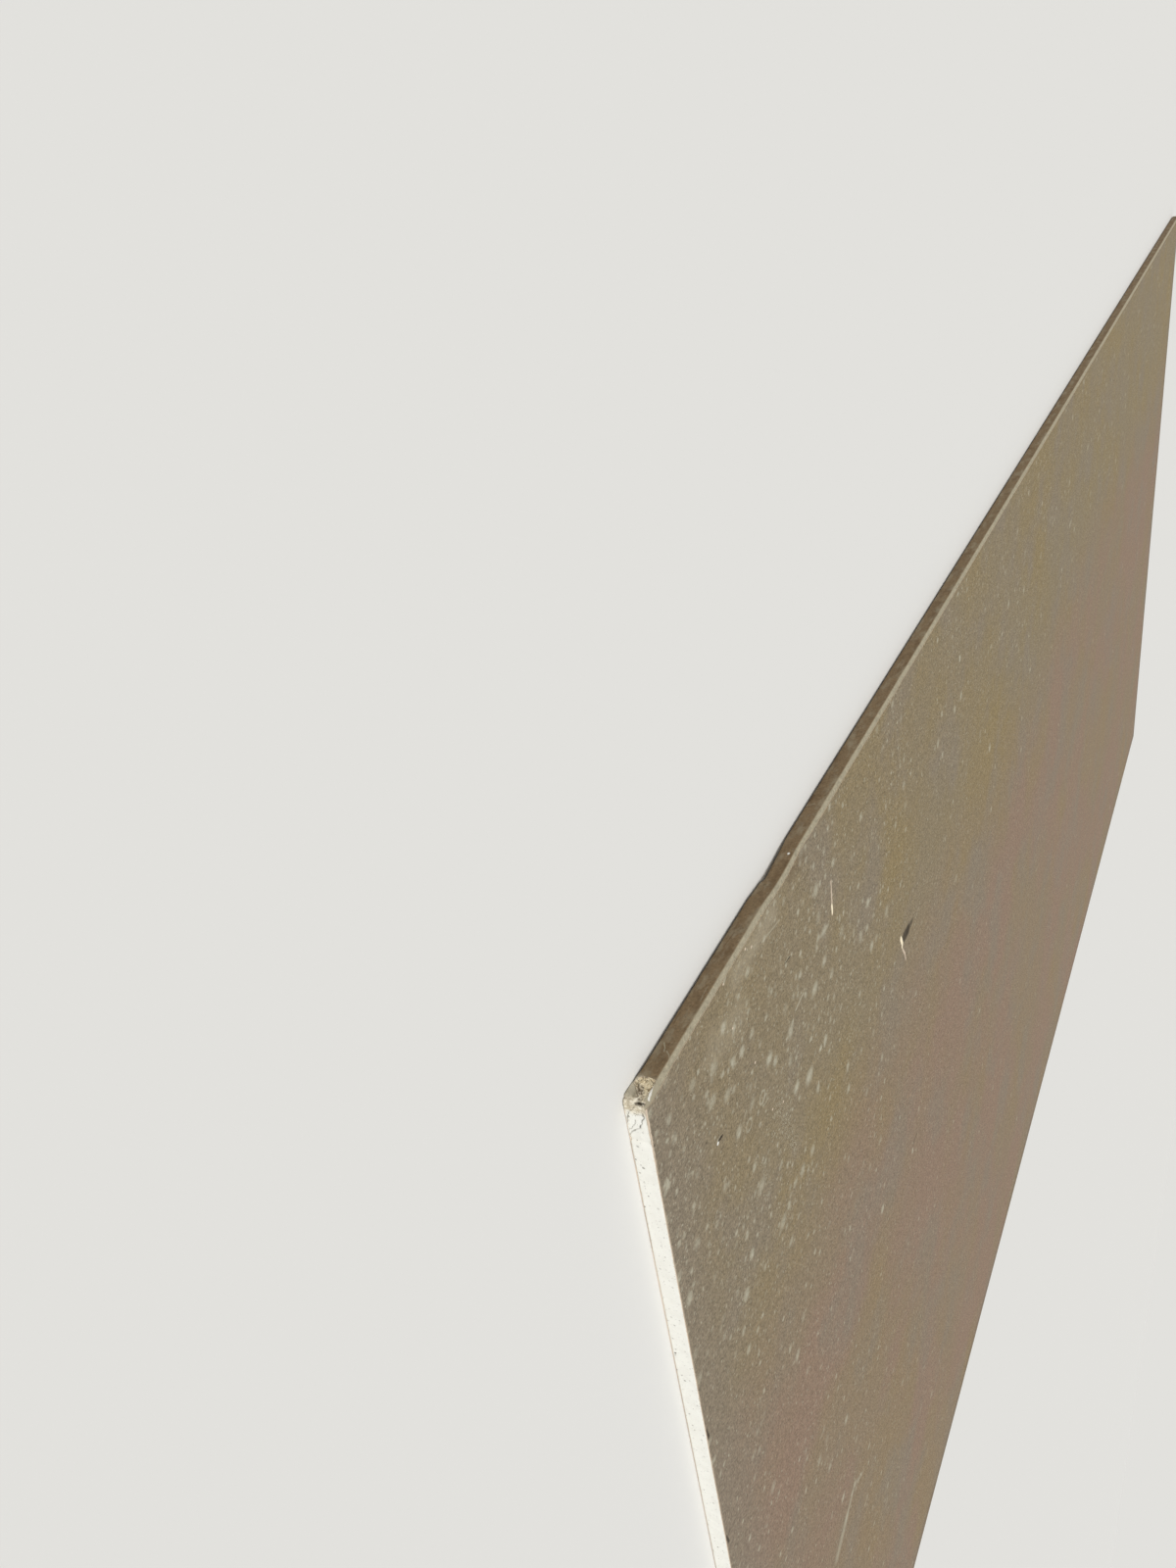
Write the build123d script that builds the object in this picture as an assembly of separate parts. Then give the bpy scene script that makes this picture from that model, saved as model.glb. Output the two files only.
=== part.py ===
from build123d import *
import os

# A sheet of gypsum board lying flat, its back face up and its front face down.
# X runs along the sheet from the near cut end (-X) to the far one, Y across it, Z up.
# The origin is at the middle of the underside. All sizes are in millimetres.

# The sheet
SHEET_LENGTH = 2500.0
SHEET_WIDTH = 1200.0
SHEET_THICKNESS = 12.5

# The papers that face the core
FACE_PAPER_THICKNESS = 0.4
BACK_PAPER_THICKNESS = 0.4
FLAP_REACH = 28.0  # how far in from a long edge the face paper is folded over the back
BACK_PAPER_SETBACK = 4.0  # bare flap between a long edge and the back paper's own edge

# The shape of each long edge, the same on both
TAPER_WIDTH = 48.0  # the shallow recess of the front face that joint filler takes up
TAPER_DEPTH = 1.2
BEVEL_WIDTH = 3.2  # the slope that turns the edge onto the back
BEVEL_DEPTH = 1.5
FOLD_RADIUS = 0.8  # outside radius of the paper where it turns

# The crushed corner, where the near end meets the long edge at +Y
CORNER_ROUND = 4.0
CRUSH_RADIUS = 12.0  # the hollow that was pressed into the edge beside the corner
CRUSH_DEPTH = 1.9
CRUSH_FROM_END = 9.5
TEAR_LENGTH = 13.0  # where the paper is torn off the hollow
TEAR_HEIGHT = 5.6
TEAR_NOTCH = 1.1

# The knock further along the same edge, deep and steep at its near side
KNOCK_RADIUS = 12.0
KNOCK_DEPTH = 3.4
KNOCK_NEAR = 186.0  # from the near end
KNOCK_FAR = 232.0

# The shallow hollow in the line of the edge that goes with the knock
DISH_RADIUS = 190.0
DISH_DEPTH = 1.8
DISH_FROM_END = 188.0

near_end = -SHEET_LENGTH / 2
half_width = SHEET_WIDTH / 2
flap_top = SHEET_THICKNESS - BACK_PAPER_THICKNESS
side_middle = (TAPER_DEPTH + SHEET_THICKNESS - BEVEL_DEPTH) / 2


def mirrored_outline(right_half):
    """A closed outline from its right half, listed from the bottom middle to the top."""
    left_half = [(-y, z) for y, z in reversed(right_half)]
    return make_face(Polyline(*right_half, *left_half, close=True))


def wrapped_section():
    """The section of all that the face paper goes round, with rounded folds."""
    right_half = [
        (half_width - TAPER_WIDTH, 0),
        (half_width, TAPER_DEPTH),
        (half_width, SHEET_THICKNESS - BEVEL_DEPTH),
        (half_width - BEVEL_WIDTH, flap_top),
    ]
    section = mirrored_outline(right_half)
    folds = section.vertices().filter_by(lambda v: abs(v.X) > half_width - BEVEL_WIDTH / 2)
    return fillet(folds, FOLD_RADIUS)


def core_section(wrapped):
    """What is left inside the face paper, raised between its two flaps."""
    inside = offset(wrapped, amount=-FACE_PAPER_THICKNESS)
    raised_height = flap_top - side_middle
    raised = Pos(0, side_middle + raised_height / 2) * Rectangle(
        SHEET_WIDTH - 2 * FLAP_REACH, raised_height
    )
    return inside + raised


def along_sheet(section):
    """A section drawn across the sheet, carried from the near end to the far one."""
    return extrude(Plane.YZ.offset(near_end) * section, SHEET_LENGTH)


def corner_waste(depth):
    """What the crushed corner has lost, outside a round whose skin lies depth deep."""
    axis = Pos(near_end + CORNER_ROUND, half_width - CORNER_ROUND, SHEET_THICKNESS / 2)
    block = Pos(-CORNER_ROUND, CORNER_ROUND) * Box(
        2 * CORNER_ROUND, 2 * CORNER_ROUND, 2 * SHEET_THICKNESS
    )
    return axis * (block - Cylinder(CORNER_ROUND - depth, 3 * SHEET_THICKNESS))


def crush_hollow(depth):
    """The rounded hollow in the side of the edge, swollen by depth below the skin."""
    centre = (near_end + CRUSH_FROM_END, half_width + CRUSH_RADIUS - CRUSH_DEPTH, side_middle)
    return Pos(*centre) * Sphere(CRUSH_RADIUS + depth)


def knock_hollow(depth):
    """A slanting round-nosed groove in the front corner of the edge, swollen by depth."""
    corner_y, corner_z = half_width, TAPER_DEPTH
    diagonal = 0.5**0.5

    def groove_point(from_end, away):
        return Vector(
            near_end + from_end, corner_y + away * diagonal, corner_z - away * diagonal
        )

    nose = groove_point(KNOCK_NEAR, KNOCK_RADIUS - KNOCK_DEPTH)
    tail = groove_point(KNOCK_FAR, KNOCK_RADIUS)
    groove = tail - nose
    across_groove = Plane(origin=nose, z_dir=groove)
    barrel = extrude(across_groove * Circle(KNOCK_RADIUS + depth), groove.length)
    return barrel + Pos(nose) * Sphere(KNOCK_RADIUS + depth)


def dish_hollow(depth):
    """The long shallow hollow in the line of the edge, swollen by depth below the skin."""
    centre = (near_end + DISH_FROM_END, half_width + DISH_RADIUS - DISH_DEPTH)
    return Pos(*centre) * Cylinder(DISH_RADIUS + depth, 3 * SHEET_THICKNESS)


def knocked_about(solid, depth):
    """A solid with the edge's damage in it, for a skin that lies depth below the outside."""
    knocks = [corner_waste(depth), crush_hollow(depth), knock_hollow(depth), dish_hollow(depth)]
    return solid - knocks


def torn_patch():
    """The ragged hole in the face paper over the crushed hollow."""
    half_length, half_height = TEAR_LENGTH / 2, TEAR_HEIGHT / 2
    rim = [
        (-half_length, half_height),
        (-half_length / 3, half_height - TEAR_NOTCH),
        (half_length / 4, half_height),
        (half_length, half_height / 3),
        (half_length - TEAR_NOTCH, -half_height / 2),
        (half_length / 3, -half_height),
        (-half_length / 4, -half_height + TEAR_NOTCH),
        (-half_length, -half_height),
    ]
    plane = Plane(
        origin=(near_end + CRUSH_FROM_END, half_width, side_middle),
        x_dir=(1, 0, 0),
        z_dir=(0, -1, 0),
    )
    through_paper = CRUSH_DEPTH + 2 * FACE_PAPER_THICKNESS
    return extrude(plane * make_face(Polyline(*rim, close=True)), through_paper, both=True)


def build_sheet():
    """The core and the two papers, each seated face to face on the next."""
    wrapped = wrapped_section()
    envelope = knocked_about(along_sheet(wrapped), 0)
    core = knocked_about(along_sheet(core_section(wrapped)), FACE_PAPER_THICKNESS)

    face_paper = envelope - core - torn_patch()

    back_width = SHEET_WIDTH - 2 * BACK_PAPER_SETBACK
    back_paper = Pos(0, 0, flap_top + BACK_PAPER_THICKNESS / 2) * Box(
        SHEET_LENGTH, back_width, BACK_PAPER_THICKNESS
    )
    return {"gypsum_core": core, "face_paper": face_paper, "back_paper": back_paper}


os.makedirs("parts", exist_ok=True)
for name, piece in build_sheet().items():
    export_step(piece, f"parts/{name}.step")
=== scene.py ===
"""Drywall sheet: the finish of a gypsum board that lies on its front, back face up.

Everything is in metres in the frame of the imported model: X along the sheet from the crushed end
at -X, Y across it towards the damaged long edge at +Y, Z up through the thickness.
"""

import math
from functools import cache

import bpy
import numpy as np
from mathutils import Matrix, Vector


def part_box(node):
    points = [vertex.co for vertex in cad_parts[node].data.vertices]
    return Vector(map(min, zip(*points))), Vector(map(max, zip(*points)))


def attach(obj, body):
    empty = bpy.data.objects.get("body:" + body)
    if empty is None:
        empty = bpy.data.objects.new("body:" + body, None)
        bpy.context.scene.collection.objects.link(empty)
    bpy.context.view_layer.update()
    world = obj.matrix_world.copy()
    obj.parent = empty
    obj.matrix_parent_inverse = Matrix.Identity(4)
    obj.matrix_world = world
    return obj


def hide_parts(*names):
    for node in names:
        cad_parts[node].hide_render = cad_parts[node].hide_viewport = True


bl_info = {
    "name": "Drywall sheet",
    "version": (1, 0, 0),
    "blender": (4, 5, 0),
    "location": "3D View > Sidebar > Drywall",
    "description": "Builds the plaster core, papers and damage of a gypsum board and its stage",
    "category": "Object",
}

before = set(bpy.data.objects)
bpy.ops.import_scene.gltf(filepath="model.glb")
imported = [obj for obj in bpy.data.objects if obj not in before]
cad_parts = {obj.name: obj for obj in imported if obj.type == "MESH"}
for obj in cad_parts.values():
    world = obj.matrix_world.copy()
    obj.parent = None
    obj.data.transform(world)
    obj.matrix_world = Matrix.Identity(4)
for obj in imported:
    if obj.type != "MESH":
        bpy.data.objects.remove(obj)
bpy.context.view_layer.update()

MM = 0.001
CORE_LOW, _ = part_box("gypsum_core")
WRAP_LOW, WRAP_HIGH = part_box("face_paper")
LINER_LOW, LINER_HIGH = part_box("back_paper")
NEAR_END, FAR_END = WRAP_LOW.x, WRAP_HIGH.x
LENGTH = FAR_END - NEAR_END
HALF_WIDTH = WRAP_HIGH.y
THICKNESS = LINER_HIGH.z
FLAP_TOP = LINER_LOW.z
WRAP_PAPER = CORE_LOW.z - WRAP_LOW.z
LINER_EDGE = LINER_HIGH.y


def paint(red, green, blue):
    """A colour as linear light from the 0 to 255 values of a screen."""
    share = np.array((red, green, blue)) / 255
    linear = np.where(share <= 0.04045, share / 12.92, ((share + 0.055) / 1.055) ** 2.4)
    return tuple(float(v) for v in linear)


def sized(label, description, default):
    """A length setting, in metres from a default in millimetres."""
    return bpy.props.FloatProperty(
        name=label, description=description, default=default * MM, min=0.0, unit="LENGTH"
    )


def angled(label, description, default):
    """An angle setting, from a default in degrees."""
    return bpy.props.FloatProperty(
        name=label, description=description, default=math.radians(default), subtype="ANGLE"
    )


def tinted(label, description, default):
    """A colour setting from its 0 to 255 values."""
    return bpy.props.FloatVectorProperty(
        name=label, description=description, default=paint(*default), min=0.0, max=1.0,
        size=3, subtype="COLOR",
    )


class DrywallEdge(bpy.types.PropertyGroup):
    """The section of the long edges."""

    taper_width: sized("Taper width", "Width of the recess in the front face", 48.0)
    taper_depth: sized("Taper depth", "Depth of that recess at the edge", 1.2)
    bevel_width: sized("Bevel width", "Slope from the edge onto the back", 3.2)
    bevel_depth: sized("Bevel depth", "Height that the slope takes up", 1.5)
    fold_radius: sized("Fold radius", "Outside radius where the paper turns", 0.8)
    flap_reach: sized("Flap reach", "How far the face paper is folded over", 28.0)


class DrywallDamage(bpy.types.PropertyGroup):
    """The crushed corner and the knock beside it."""

    corner_round: sized("Corner round", "Plan radius of the crushed corner", 4.0)
    crush_radius: sized("Crush radius", "Radius of the hollow in the edge", 12.0)
    crush_depth: sized("Crush depth", "Depth of that hollow", 1.9)
    crush_place: sized("Crush place", "Its middle, from the near end", 9.5)
    torn_length: sized("Torn length", "How far the paper is torn off", 16.3)
    knock_radius: sized("Knock radius", "Radius of the groove in the edge", 12.0)
    knock_depth: sized("Knock depth", "Depth of the groove at its nose", 3.4)
    knock_near: sized("Knock start", "Its nose, from the near end", 186.0)
    knock_far: sized("Knock end", "Where it runs out", 232.0)
    dish_radius: sized("Dish radius", "Radius of the dent in the edge's line", 190.0)
    dish_depth: sized("Dish depth", "Depth of that dent", 1.8)
    dish_place: sized("Dish place", "Its middle, from the near end", 188.0)


class DrywallColours(bpy.types.PropertyGroup):
    """Papers and plaster."""

    liner: tinted("Back paper", "Grey-brown recycled paper of the back", (134, 121, 97))
    liner_warm: tinted("Back paper, warm", "Browner stretches of it", (137, 121, 88))
    liner_cool: tinted("Back paper, cool", "Greyer stretches of it", (132, 121, 105))
    # Partly the paper's own redder tone, partly painted warm shade.
    liner_ruddy_shade: tinted("Back paper, ruddy", "Redder stretches of it", (139, 118, 100))
    fleck: tinted("Flecks", "Pale spots in the back paper", (184, 179, 158))
    strip: tinted("Folded strip", "Face paper where it is folded back", (164, 155, 132))
    # Darker than the folded strip, partly from dirt and partly as painted shade.
    side: tinted("Edge", "Face paper on the side of the edge", (128, 108, 81))
    front: tinted("Front", "Face paper on the hidden front", (190, 181, 160))
    torn: tinted("Torn paper", "Inner plies where the paper is torn", (250, 236, 204))
    torn_brown: tinted("Torn paper, brown", "Browner plies beside them", (196, 172, 132))
    rim: tinted("Cut rim", "Papers where the ends are cut", (222, 203, 180))
    front_rim: tinted("Front cut rim", "Face paper where it is cut", (234, 219, 200))
    plaster: tinted("Plaster", "The set core where it is cut", (252, 251, 243))
    # Also the colour of the painted highlight on the corner's ridge.
    cloud_and_ridge_highlight: tinted("Plaster, grey", "Greyer clouds in the core", (232, 229, 220))
    dust: tinted("Dust", "Crushed plaster mixed with dirt", (170, 154, 126))
    # Also the painted shade in the crushed plaster's cracks.
    pit_and_crack_shade: tinted("Pits", "Air bubbles and specks in the core", (92, 86, 76))
    # Painted shadow: the dark inside slits, gouges and nicks.
    shadow: tinted("Slits", "Dirt in slits and gouges", (58, 50, 40))
    # Partly rubbed dirt on the side of the edge, partly painted shade in the crumple's creases,
    # under the torn tuft, in a dent at the front fold and beside the strip at the dish.
    stain_and_shade: tinted("Stains", "Rubbed dirt on the side of the edge", (92, 70, 46))


class DrywallStage(bpy.types.PropertyGroup):
    """Floor, lamps and the camera, placed from the crushed corner."""

    before_end: sized("Before the end", "Camera, out from the near end", 334.7)
    beyond_edge: sized("Beyond the edge", "Camera, out from the long edge", 411.1)
    above_back: sized("Above the back", "Camera, up from the back face", 220.8)
    heading: angled("Heading", "Turn of the view from the sheet's length", -34.93)
    tilt: angled("Tilt", "Tilt of the view from level", -28.25)
    roll: angled("Roll", "Turn of the picture about the view", 97.79)
    lens: bpy.props.FloatProperty(
        name="Lens", description="Focal length on a 36 mm sensor, in millimetres",
        default=27.08, min=1.0,
    )
    floor: tinted("Floor", "Plain pale floor", (226, 225, 221))


def grouped(kind, label, description):
    """A group of settings."""
    return bpy.props.PointerProperty(type=kind, name=label, description=description)


class DrywallSettings(bpy.types.PropertyGroup):
    """All that a user of the sheet may change."""

    edge: grouped(DrywallEdge, "Edge", "The section of the long edges")
    damage: grouped(DrywallDamage, "Damage", "The crushed corner and the knock")
    colours: grouped(DrywallColours, "Colours", "Papers and plaster")
    stage: grouped(DrywallStage, "Stage", "Floor, lamps and camera")


# Surfaces as arrays

def spaced(*runs):
    """Places along a line from 0: each run is (where it ends, step) in millimetres, after the
    last one."""
    places = [np.zeros(1)]
    for end, step in runs:
        start = places[-1][-1]
        count = max(1, round((end * MM - start) / (step * MM)))
        places.append(np.linspace(start, end * MM, count + 1)[1:])
    return np.concatenate(places)


def smooth(value, low, high):
    """0 below low, 1 above high, and a smooth S between them, where high may be the lower."""
    share = np.clip((value - low) / (high - low), 0, 1)
    return share * share * (3 - 2 * share)


def eased(length, low, high):
    """The same for a length, between two limits in millimetres."""
    return smooth(length, low * MM, high * MM)


# Large odd numbers that stir the number of a cell, of which 20 bits are kept
AXIS_FACTORS = np.array((374761393, 668265263, 2246822519), np.uint64)
STIRRING = np.uint64(1274126177)
KEPT_BITS = np.uint64(0xFFFFF)


def cell_value(cells, seed):
    """A fixed pseudo-random value from -1 to 1 for each whole-numbered cell."""
    mixed = cells.astype(np.int64).astype(np.uint64)
    word = np.uint64(seed * 7919 + 17)
    for axis, factor in enumerate(AXIS_FACTORS):
        word = word ^ (mixed[..., axis] * factor)
        word = (word ^ (word >> np.uint64(13))) * STIRRING
    return ((word >> np.uint64(20)) & KEPT_BITS) / (int(KEPT_BITS) // 2) - 1.0


def noise(points, size, seed):
    """Smooth noise from -1 to 1, its cells size millimetres wide: the values at a cell's
    corners blended by an S curve along each axis."""
    scaled = points / (size * MM)
    base = np.floor(scaled)
    part = scaled - base
    part = part * part * (3 - 2 * part)
    total = np.zeros(points.shape[:-1])
    for corner in np.ndindex(2, 2, 2):
        weight = np.prod(np.where(corner, part, 1 - part), axis=-1)
        total += weight * cell_value(base + np.array(corner), seed)
    return total


def fractal(points, size, octaves, seed):
    """Noise plus half as much of it at half the size, and so on."""
    return sum(noise(points, size / 2**i, seed + i) / 2**i for i in range(octaves))


def pressed(points, centre, radius, direction, axis=None, reach=None):
    """Points inside a ball, or a round bar from centre along axis, moved along direction
    to its skin: the root of the quadratic for where that ray leaves the ball or bar."""
    offset = points - centre
    way = np.broadcast_to(np.array(direction, float), points.shape).copy()
    beyond = np.zeros(points.shape[:-1], bool)
    if axis is not None:
        along = offset @ axis
        on_bar = (along > 0)[..., None]
        offset = np.where(on_bar, offset - along[..., None] * axis, offset)
        way = np.where(on_bar, way - (way @ axis)[..., None] * axis, way)
        beyond = along > reach
    a = (way * way).sum(-1)
    b = (offset * way).sum(-1)
    c = (offset * offset).sum(-1) - radius**2
    inside = (c < 0) & ~beyond
    step = np.where(inside, (-b + np.sqrt(np.maximum(b * b - a * c, 0))) / a, 0)
    return points + step[..., None] * np.array(direction, float)


def added(name, data):
    """An object in the scene from its data."""
    made = bpy.data.objects.new(name, data)
    bpy.context.scene.collection.objects.link(made)
    return made


def mesh_object(name, points, faces, material, attributes=None, smooth_faces=True):
    """An object at the origin from arrays of points and four-cornered faces, turned outwards
    if the volume that its faces enclose comes out negative."""
    corners = points[faces]
    volume = np.einsum(
        "ij,ij->", corners[:, 0] - points.mean(0),
        np.cross(corners[:, 1] - corners[:, 0], corners[:, 2] - corners[:, 0])
        + np.cross(corners[:, 2] - corners[:, 0], corners[:, 3] - corners[:, 0]),
    )
    if volume < 0:
        faces = faces[:, ::-1]
    mesh = bpy.data.meshes.new(name)
    mesh.vertices.add(len(points))
    mesh.vertices.foreach_set("co", points.astype(np.float32).ravel())
    mesh.loops.add(faces.size)
    mesh.loops.foreach_set("vertex_index", faces.astype(np.int32).ravel())
    mesh.polygons.add(len(faces))
    mesh.polygons.foreach_set("loop_start", np.arange(0, faces.size, 4, dtype=np.int32))
    mesh.polygons.foreach_set("use_smooth", np.full(len(faces), smooth_faces))
    mesh.update(calc_edges=True)
    mesh.validate()
    for label, values in (attributes or {}).items():
        layer = mesh.attributes.new(label, "FLOAT", "POINT")
        layer.data.foreach_set("value", values.astype(np.float32).ravel())
    mesh.materials.append(material)
    return added(name, mesh)


def quads(index):
    """The faces of a grid of point numbers, or of many grids."""
    return np.stack(
        (index[..., :-1, :-1], index[..., 1:, :-1], index[..., 1:, 1:],
         index[..., :-1, 1:]), -1,
    ).reshape(-1, 4)


def slab_object(name, outer, inner, material, **masks):
    """A piece between two skins, which are grids of points joined along their four rims. Its
    attribute skin is 1 on the outer one and 0 on the inner, and each mask is alike on both."""
    upper = np.arange(outer[..., 0].size).reshape(outer.shape[:2])
    lower = upper + upper.size
    rims = ((lower[0], upper[0]), (upper[-1], lower[-1]), (upper[:, 0], lower[:, 0]),
            (lower[:, -1], upper[:, -1]))
    faces = [quads(upper), quads(lower)[:, ::-1]] + [quads(np.stack(rim)) for rim in rims]
    values = {"skin": np.repeat((1.0, 0.0), upper.size)}
    for label, mask in masks.items():
        values[label] = np.tile(np.broadcast_to(mask, upper.shape).ravel(), 2)
    points = np.concatenate((outer.reshape(-1, 3), inner.reshape(-1, 3)))
    return mesh_object(name, points, np.concatenate(faces), material, values)


def carried(section, stations):
    """A section's points, across and up, repeated at each place along the sheet."""
    shape = len(stations), len(section)
    return np.stack(
        [np.broadcast_to(part, shape) for part in (stations[:, None], *section.T)], -1
    )


def rim_of(grid):
    """The outermost entries of a grid, in order round it."""
    return np.concatenate((grid[:-1, 0], grid[-1, :-1], grid[:0:-1, -1], grid[0, :0:-1]))


def travelled(line):
    """How far along a line each of its points lies."""
    steps = np.linalg.norm(np.diff(line, axis=0), axis=1)
    return np.concatenate((np.zeros(1), np.cumsum(steps)))


def from_run(places, start, end):
    """For each place, how far along a straight run its nearest point lies, from 0 to 1, and how
    far off that point is."""
    run = end - start
    share = np.clip((places - start) @ run / (run @ run), 0, 1)
    return share, np.linalg.norm(places - start - share[..., None] * run, axis=-1)


def rounded_line(corners, radii, steps):
    """A line through corners with each inner one turned on an arc of its radius. Each run
    is cut into lengths of about its step, and an arc has a point for each 15 degrees."""
    corners = np.array(corners, float)
    made = [corners[:1]]
    for i in range(1, len(corners)):
        start, end = made[-1][-1], corners[i]
        if i == len(corners) - 1 or radii[i] == 0:
            arc = np.empty((0, 2))
            stop = end
        else:
            come = (end - corners[i - 1]) / np.linalg.norm(end - corners[i - 1])
            leave = (corners[i + 1] - end) / np.linalg.norm(corners[i + 1] - end)
            turn = math.acos(np.clip(come @ leave, -1, 1))
            back = radii[i] * math.tan(turn / 2)
            stop = end - come * back
            inward = leave - come
            centre = end + inward / np.linalg.norm(inward) * radii[i] / math.cos(turn / 2)
            count = max(2, math.ceil(turn / math.radians(15)))
            share = np.linspace(0, 1, count + 1)[1:, None]
            first, last = stop - centre, end + leave * back - centre
            arc = centre + (
                np.sin((1 - share) * turn) * first + np.sin(share * turn) * last
            ) / math.sin(turn)
        cuts = max(1, round(np.linalg.norm(stop - start) / steps[i - 1]))
        straight = start + (stop - start) * np.linspace(0, 1, cuts + 1)[1:, None]
        made.append(np.concatenate((straight, arc)))
    return np.concatenate(made)


def side_normals(line):
    """Unit normals of a line of 2-D points, to the left of its travel."""
    run = np.gradient(line, axis=0)
    run /= np.linalg.norm(run, axis=1, keepdims=True)
    return np.stack((-run[:, 1], run[:, 0]), 1)


# The sheet's own shapes

def knock_places(settings):
    """The middle of the crushed hollow, the knock's nose and tail, and its way inwards."""
    damage, edge = settings.damage, settings.edge
    middle = (edge.taper_depth + THICKNESS - edge.bevel_depth) / 2
    above = damage.crush_radius - damage.crush_depth
    crush = np.array((NEAR_END + damage.crush_place, HALF_WIDTH + above, middle))
    diagonal = np.array((0, 1, -1)) / math.sqrt(2)
    nose, tail = (
        np.array((NEAR_END + from_end, HALF_WIDTH, edge.taper_depth)) + diagonal * away
        for from_end, away in ((damage.knock_near, damage.knock_radius - damage.knock_depth),
                               (damage.knock_far, damage.knock_radius))
    )
    return crush, nose, tail, -diagonal


def squashed(points, settings):
    """How far the front is pressed down near the crushed corner: nearly as deep as its taper
    rises there, fading along the edge and upwards."""
    edge = settings.edge
    fade = eased(points[..., 0] - NEAR_END, 26, 5)
    fade = fade * eased(points[..., 2], 6, 1)
    taper = np.clip(1 - (HALF_WIDTH - points[..., 1]) / edge.taper_width, 0, 1)
    return 0.9 * edge.taper_depth * taper * fade


# How much of what reaches past the rounded corner is pressed onto it. The rest keeps the points
# apart, so that no face is left without area.
CORNER_SQUEEZE = 0.98


def knocked(points, settings, depth):
    """The edge's damage. The line of the edge is dished by a parabola, the plan is rounded at
    the corner, whose front fold is squashed down into the taper, and the ball and the bar
    that made the two hollows press in what they meet, the bar gently at its nose. depth is how
    far the surface lies inside the paper."""
    damage = settings.damage
    crush, nose, tail, inward = knock_places(settings)
    points = points.copy()
    from_end = points[..., 0] - NEAR_END
    near_edge = eased(HALF_WIDTH - points[..., 1], 30, 2)
    off = from_end - damage.dish_place
    points[..., 1] -= near_edge * np.maximum(
        damage.dish_depth - off**2 / (2 * damage.dish_radius), 0
    )
    short = np.clip(damage.corner_round - from_end, 0, damage.corner_round)
    round_line = HALF_WIDTH - damage.corner_round + np.sqrt(damage.corner_round**2 - short**2)
    points[..., 1] -= CORNER_SQUEEZE * np.maximum(points[..., 1] - round_line + depth, 0)
    points[..., 2] -= squashed(points, settings)
    points = pressed(points, crush, damage.crush_radius + depth, (0, -1, 0))
    bar = tail - nose
    reach = np.linalg.norm(bar)
    under_bar = pressed(points, nose, damage.knock_radius + depth, inward, bar / reach, reach)
    from_nose = points[..., :1] - NEAR_END - damage.knock_near
    return points + (under_bar - points) * eased(from_nose, -12, 6)


def core_heights(across, settings):
    """The core's underside and top at a distance across: the taper and the bevel as straight
    slopes, and the rebate under the folded flap."""
    edge = settings.edge
    from_edge = HALF_WIDTH - np.abs(across)
    rise = edge.taper_depth * np.clip(1 - from_edge / edge.taper_width, 0, 1)
    slope = edge.bevel_depth - (THICKNESS - FLAP_TOP)
    fall = slope * np.clip(1 - from_edge / edge.bevel_width, 0, 1)
    top = np.where(from_edge > edge.flap_reach, FLAP_TOP, FLAP_TOP - WRAP_PAPER)
    return WRAP_PAPER + rise, top - fall


def fray_ends(skins, rag, reach):
    """Draws both ends of a piece back by rag, which fades out within reach millimetres."""
    x = skins[0][..., 0]
    drawn_back = rag * (eased(x - NEAR_END, reach, 0) - eased(FAR_END - x, reach, 0))
    for skin in skins:
        skin[..., 0] += drawn_back


CUT_RECESS = 0.1 * MM
CUT_RELIEF = 0.09 * MM
# Where the crushed plaster covers the core, along the side and along the end
SIDE_PATCH = 17 * MM
END_PATCH = 29 * MM
SIDE_SUNK = 1.3 * MM
END_SUNK = 1.2 * MM
CORE_LEVELS = 15
# How near the plane of a cut end a point counts as on it
ON_END = 0.001 * MM


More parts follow.
